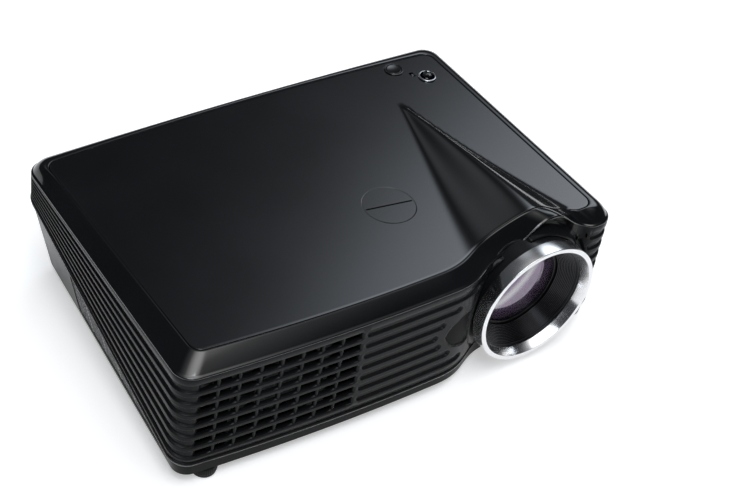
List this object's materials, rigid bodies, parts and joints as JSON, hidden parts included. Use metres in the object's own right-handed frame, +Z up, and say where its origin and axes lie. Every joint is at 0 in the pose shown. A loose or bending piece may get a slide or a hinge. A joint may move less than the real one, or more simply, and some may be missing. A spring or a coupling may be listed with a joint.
{
  "type": "projector",
  "caption": "Black table-top video projector with a large silver-ringed lens, front grille, side mesh and gloss top.",
  "frame": {"origin": "on the table, under the middle of the bounding box", "axes": "+X to the right seen from the front, +Y to the back (the lens looks along -Y), +Z up"},
  "size_m": [0.3276, 0.2263, 0.1126],
  "materials": {
    "gloss_black": "high gloss",
    "satin_black": "satin",
    "inner_black": "matt",
    "ring_metal": "turned and polished",
    "sink_metal": "extruded",
    "steel": "plain",
    "chrome": "bright",
    "brass": "plain",
    "rubber": "matt",
    "glass": "coated",
    "clear_plate": "clear plate",
    "panel_glass": "polarised",
    "mirror": "front silvered",
    "lamp": "lamp with its plate",
    "foam": "open foam",
    "board": "circuit board",
    "jack_plastic": "moulded"
  },
  "bodies": {
    "casing": {"top_panel": "gloss_black", "top_cover": "gloss_black", "upper_shell": "satin_black", "lower_case": "satin_black", "side_mesh_panel": "satin_black", "air_filter": "foam", "rear_plate": "steel", "case_screws": "steel", "rear_feet": "rubber", "ceiling_inserts": "brass", "lens_housing": "satin_black", "optical_housing": "inner_black", "condenser_lens": "glass", "fresnel_lens_rear": "clear_plate", "fresnel_lens_front": "clear_plate", "fold_mirror": "mirror", "mirror_bracket": "steel", "heat_sink": "sink_metal", "light_led": "lamp", "exhaust_fan_frame": "inner_black", "intake_fan_frame": "inner_black", "key_board": "board", "indicator_light": "clear_plate", "joystick_rim": "chrome", "power_board": "board", "main_board": "board", "hdmi_jack": "steel", "usb_jack": "steel", "vga_jack": "steel", "av_jacks": "jack_plastic", "ac_inlet": "inner_black", "power_switch_body": "inner_black", "speaker": "inner_black"},
    "focus_sleeve": {"focus_ring": "ring_metal", "focus_barrel": "inner_black", "lens_baffle": "inner_black"},
    "lens_slide": {"lens_cell": "inner_black", "front_lens": "glass", "middle_lens": "glass", "rear_lens": "glass", "lens_retainer": "sink_metal"},
    "keystone": {"keystone_dial": "gloss_black", "keystone_crank": "inner_black"},
    "picture": {"lcd_frame": "inner_black", "lcd_panel": "panel_glass"},
    "exhaust_rotor": {"exhaust_fan_rotor": "inner_black"},
    "intake_rotor": {"intake_fan_rotor": "inner_black"},
    "button": {"power_button": "gloss_black"},
    "stick_cradle": {"joystick_cradle": "inner_black"},
    "stick_rocker": {"joystick_rocker": "inner_black"},
    "stick_knob": {"joystick_knob": "satin_black"},
    "left_pad": {"front_left_pad": "rubber"},
    "left_knob": {"front_left_foot": "satin_black"},
    "right_pad": {"front_right_pad": "rubber"},
    "right_knob": {"front_right_foot": "satin_black"},
    "mains_rocker": {"power_switch_rocker": "inner_black"}
  },
  "joints": [
    {"name": "focus_turn", "type": "hinge", "parent": "casing", "child": "focus_sleeve", "pos_m": [0.095, -0.1, 0.0545], "axis": [0, 1, 0], "range_deg": [0, 270]},
    {"name": "focus_slide", "type": "slide", "parent": "casing", "child": "lens_slide", "axis": [0, 1, 0], "range_m": [0, 0.006]},
    {"name": "keystone_turn", "type": "hinge", "parent": "casing", "child": "keystone", "pos_m": [0.0272, -0.029, 0.1], "axis": [0, 0, 1], "range_deg": [-30, 30]},
    {"name": "picture_tilt", "type": "hinge", "parent": "casing", "child": "picture", "pos_m": [0.0272, -0.029, 0.0545], "axis": [0, 1, 0], "range_deg": [-7, 7]},
    {"name": "exhaust_spin", "type": "hinge", "parent": "casing", "child": "exhaust_rotor", "pos_m": [-0.095, -0.089, 0.0545], "axis": [0, 1, 0], "continuous": true},
    {"name": "intake_spin", "type": "hinge", "parent": "casing", "child": "intake_rotor", "pos_m": [-0.1305, 0.027, 0.0415], "axis": [1, 0, 0], "continuous": true},
    {"name": "button_press", "type": "slide", "parent": "casing", "child": "button", "axis": [0, 0, -1], "range_m": [0, 0.0008], "stiffness_N_per_m": 400},
    {"name": "stick_fore_aft", "type": "hinge", "parent": "casing", "child": "stick_cradle", "pos_m": [0.1335, 0.0755, 0.0935], "axis": [1, 0, 0], "range_deg": [-6, 6], "stiffness_Nm_per_rad": 0.05},
    {"name": "stick_left_right", "type": "hinge", "parent": "stick_cradle", "child": "stick_rocker", "pos_m": [0.1335, 0.0755, 0.0935], "axis": [0, 1, 0], "range_deg": [-6, 6], "stiffness_Nm_per_rad": 0.05},
    {"name": "stick_push", "type": "slide", "parent": "stick_rocker", "child": "stick_knob", "axis": [0, 0, -1], "range_m": [0, 0.0005], "stiffness_N_per_m": 400},
    {"name": "left_foot_travel", "type": "slide", "parent": "casing", "child": "left_pad", "axis": [0, 0, -1], "range_m": [0, 0.012]},
    {"name": "left_foot_turn", "type": "hinge", "parent": "left_pad", "child": "left_knob", "pos_m": [-0.139, -0.0925, 0.006], "axis": [0, 0, -1], "range_deg": [0, 2880]},
    {"name": "right_foot_travel", "type": "slide", "parent": "casing", "child": "right_pad", "axis": [0, 0, -1], "range_m": [0, 0.012]},
    {"name": "right_foot_turn", "type": "hinge", "parent": "right_pad", "child": "right_knob", "pos_m": [0.141, -0.083, 0.006], "axis": [0, 0, -1], "range_deg": [0, 2880]},
    {"name": "mains_switch", "type": "hinge", "parent": "casing", "child": "mains_rocker", "pos_m": [-0.072, 0.1104, 0.033], "axis": [1, 0, 0], "range_deg": [-20, 0]}
  ],
  "couplings": [
    {"joint": "focus_slide", "follows": "focus_turn", "m_per_rad": 0.0012732},
    {"joint": "picture_tilt", "follows": "keystone_turn", "ratio": -0.228},
    {"joint": "left_foot_turn", "follows": "left_foot_travel", "rad_per_m": 4188.8},
    {"joint": "right_foot_turn", "follows": "right_foot_travel", "rad_per_m": 4188.8}
  ]
}
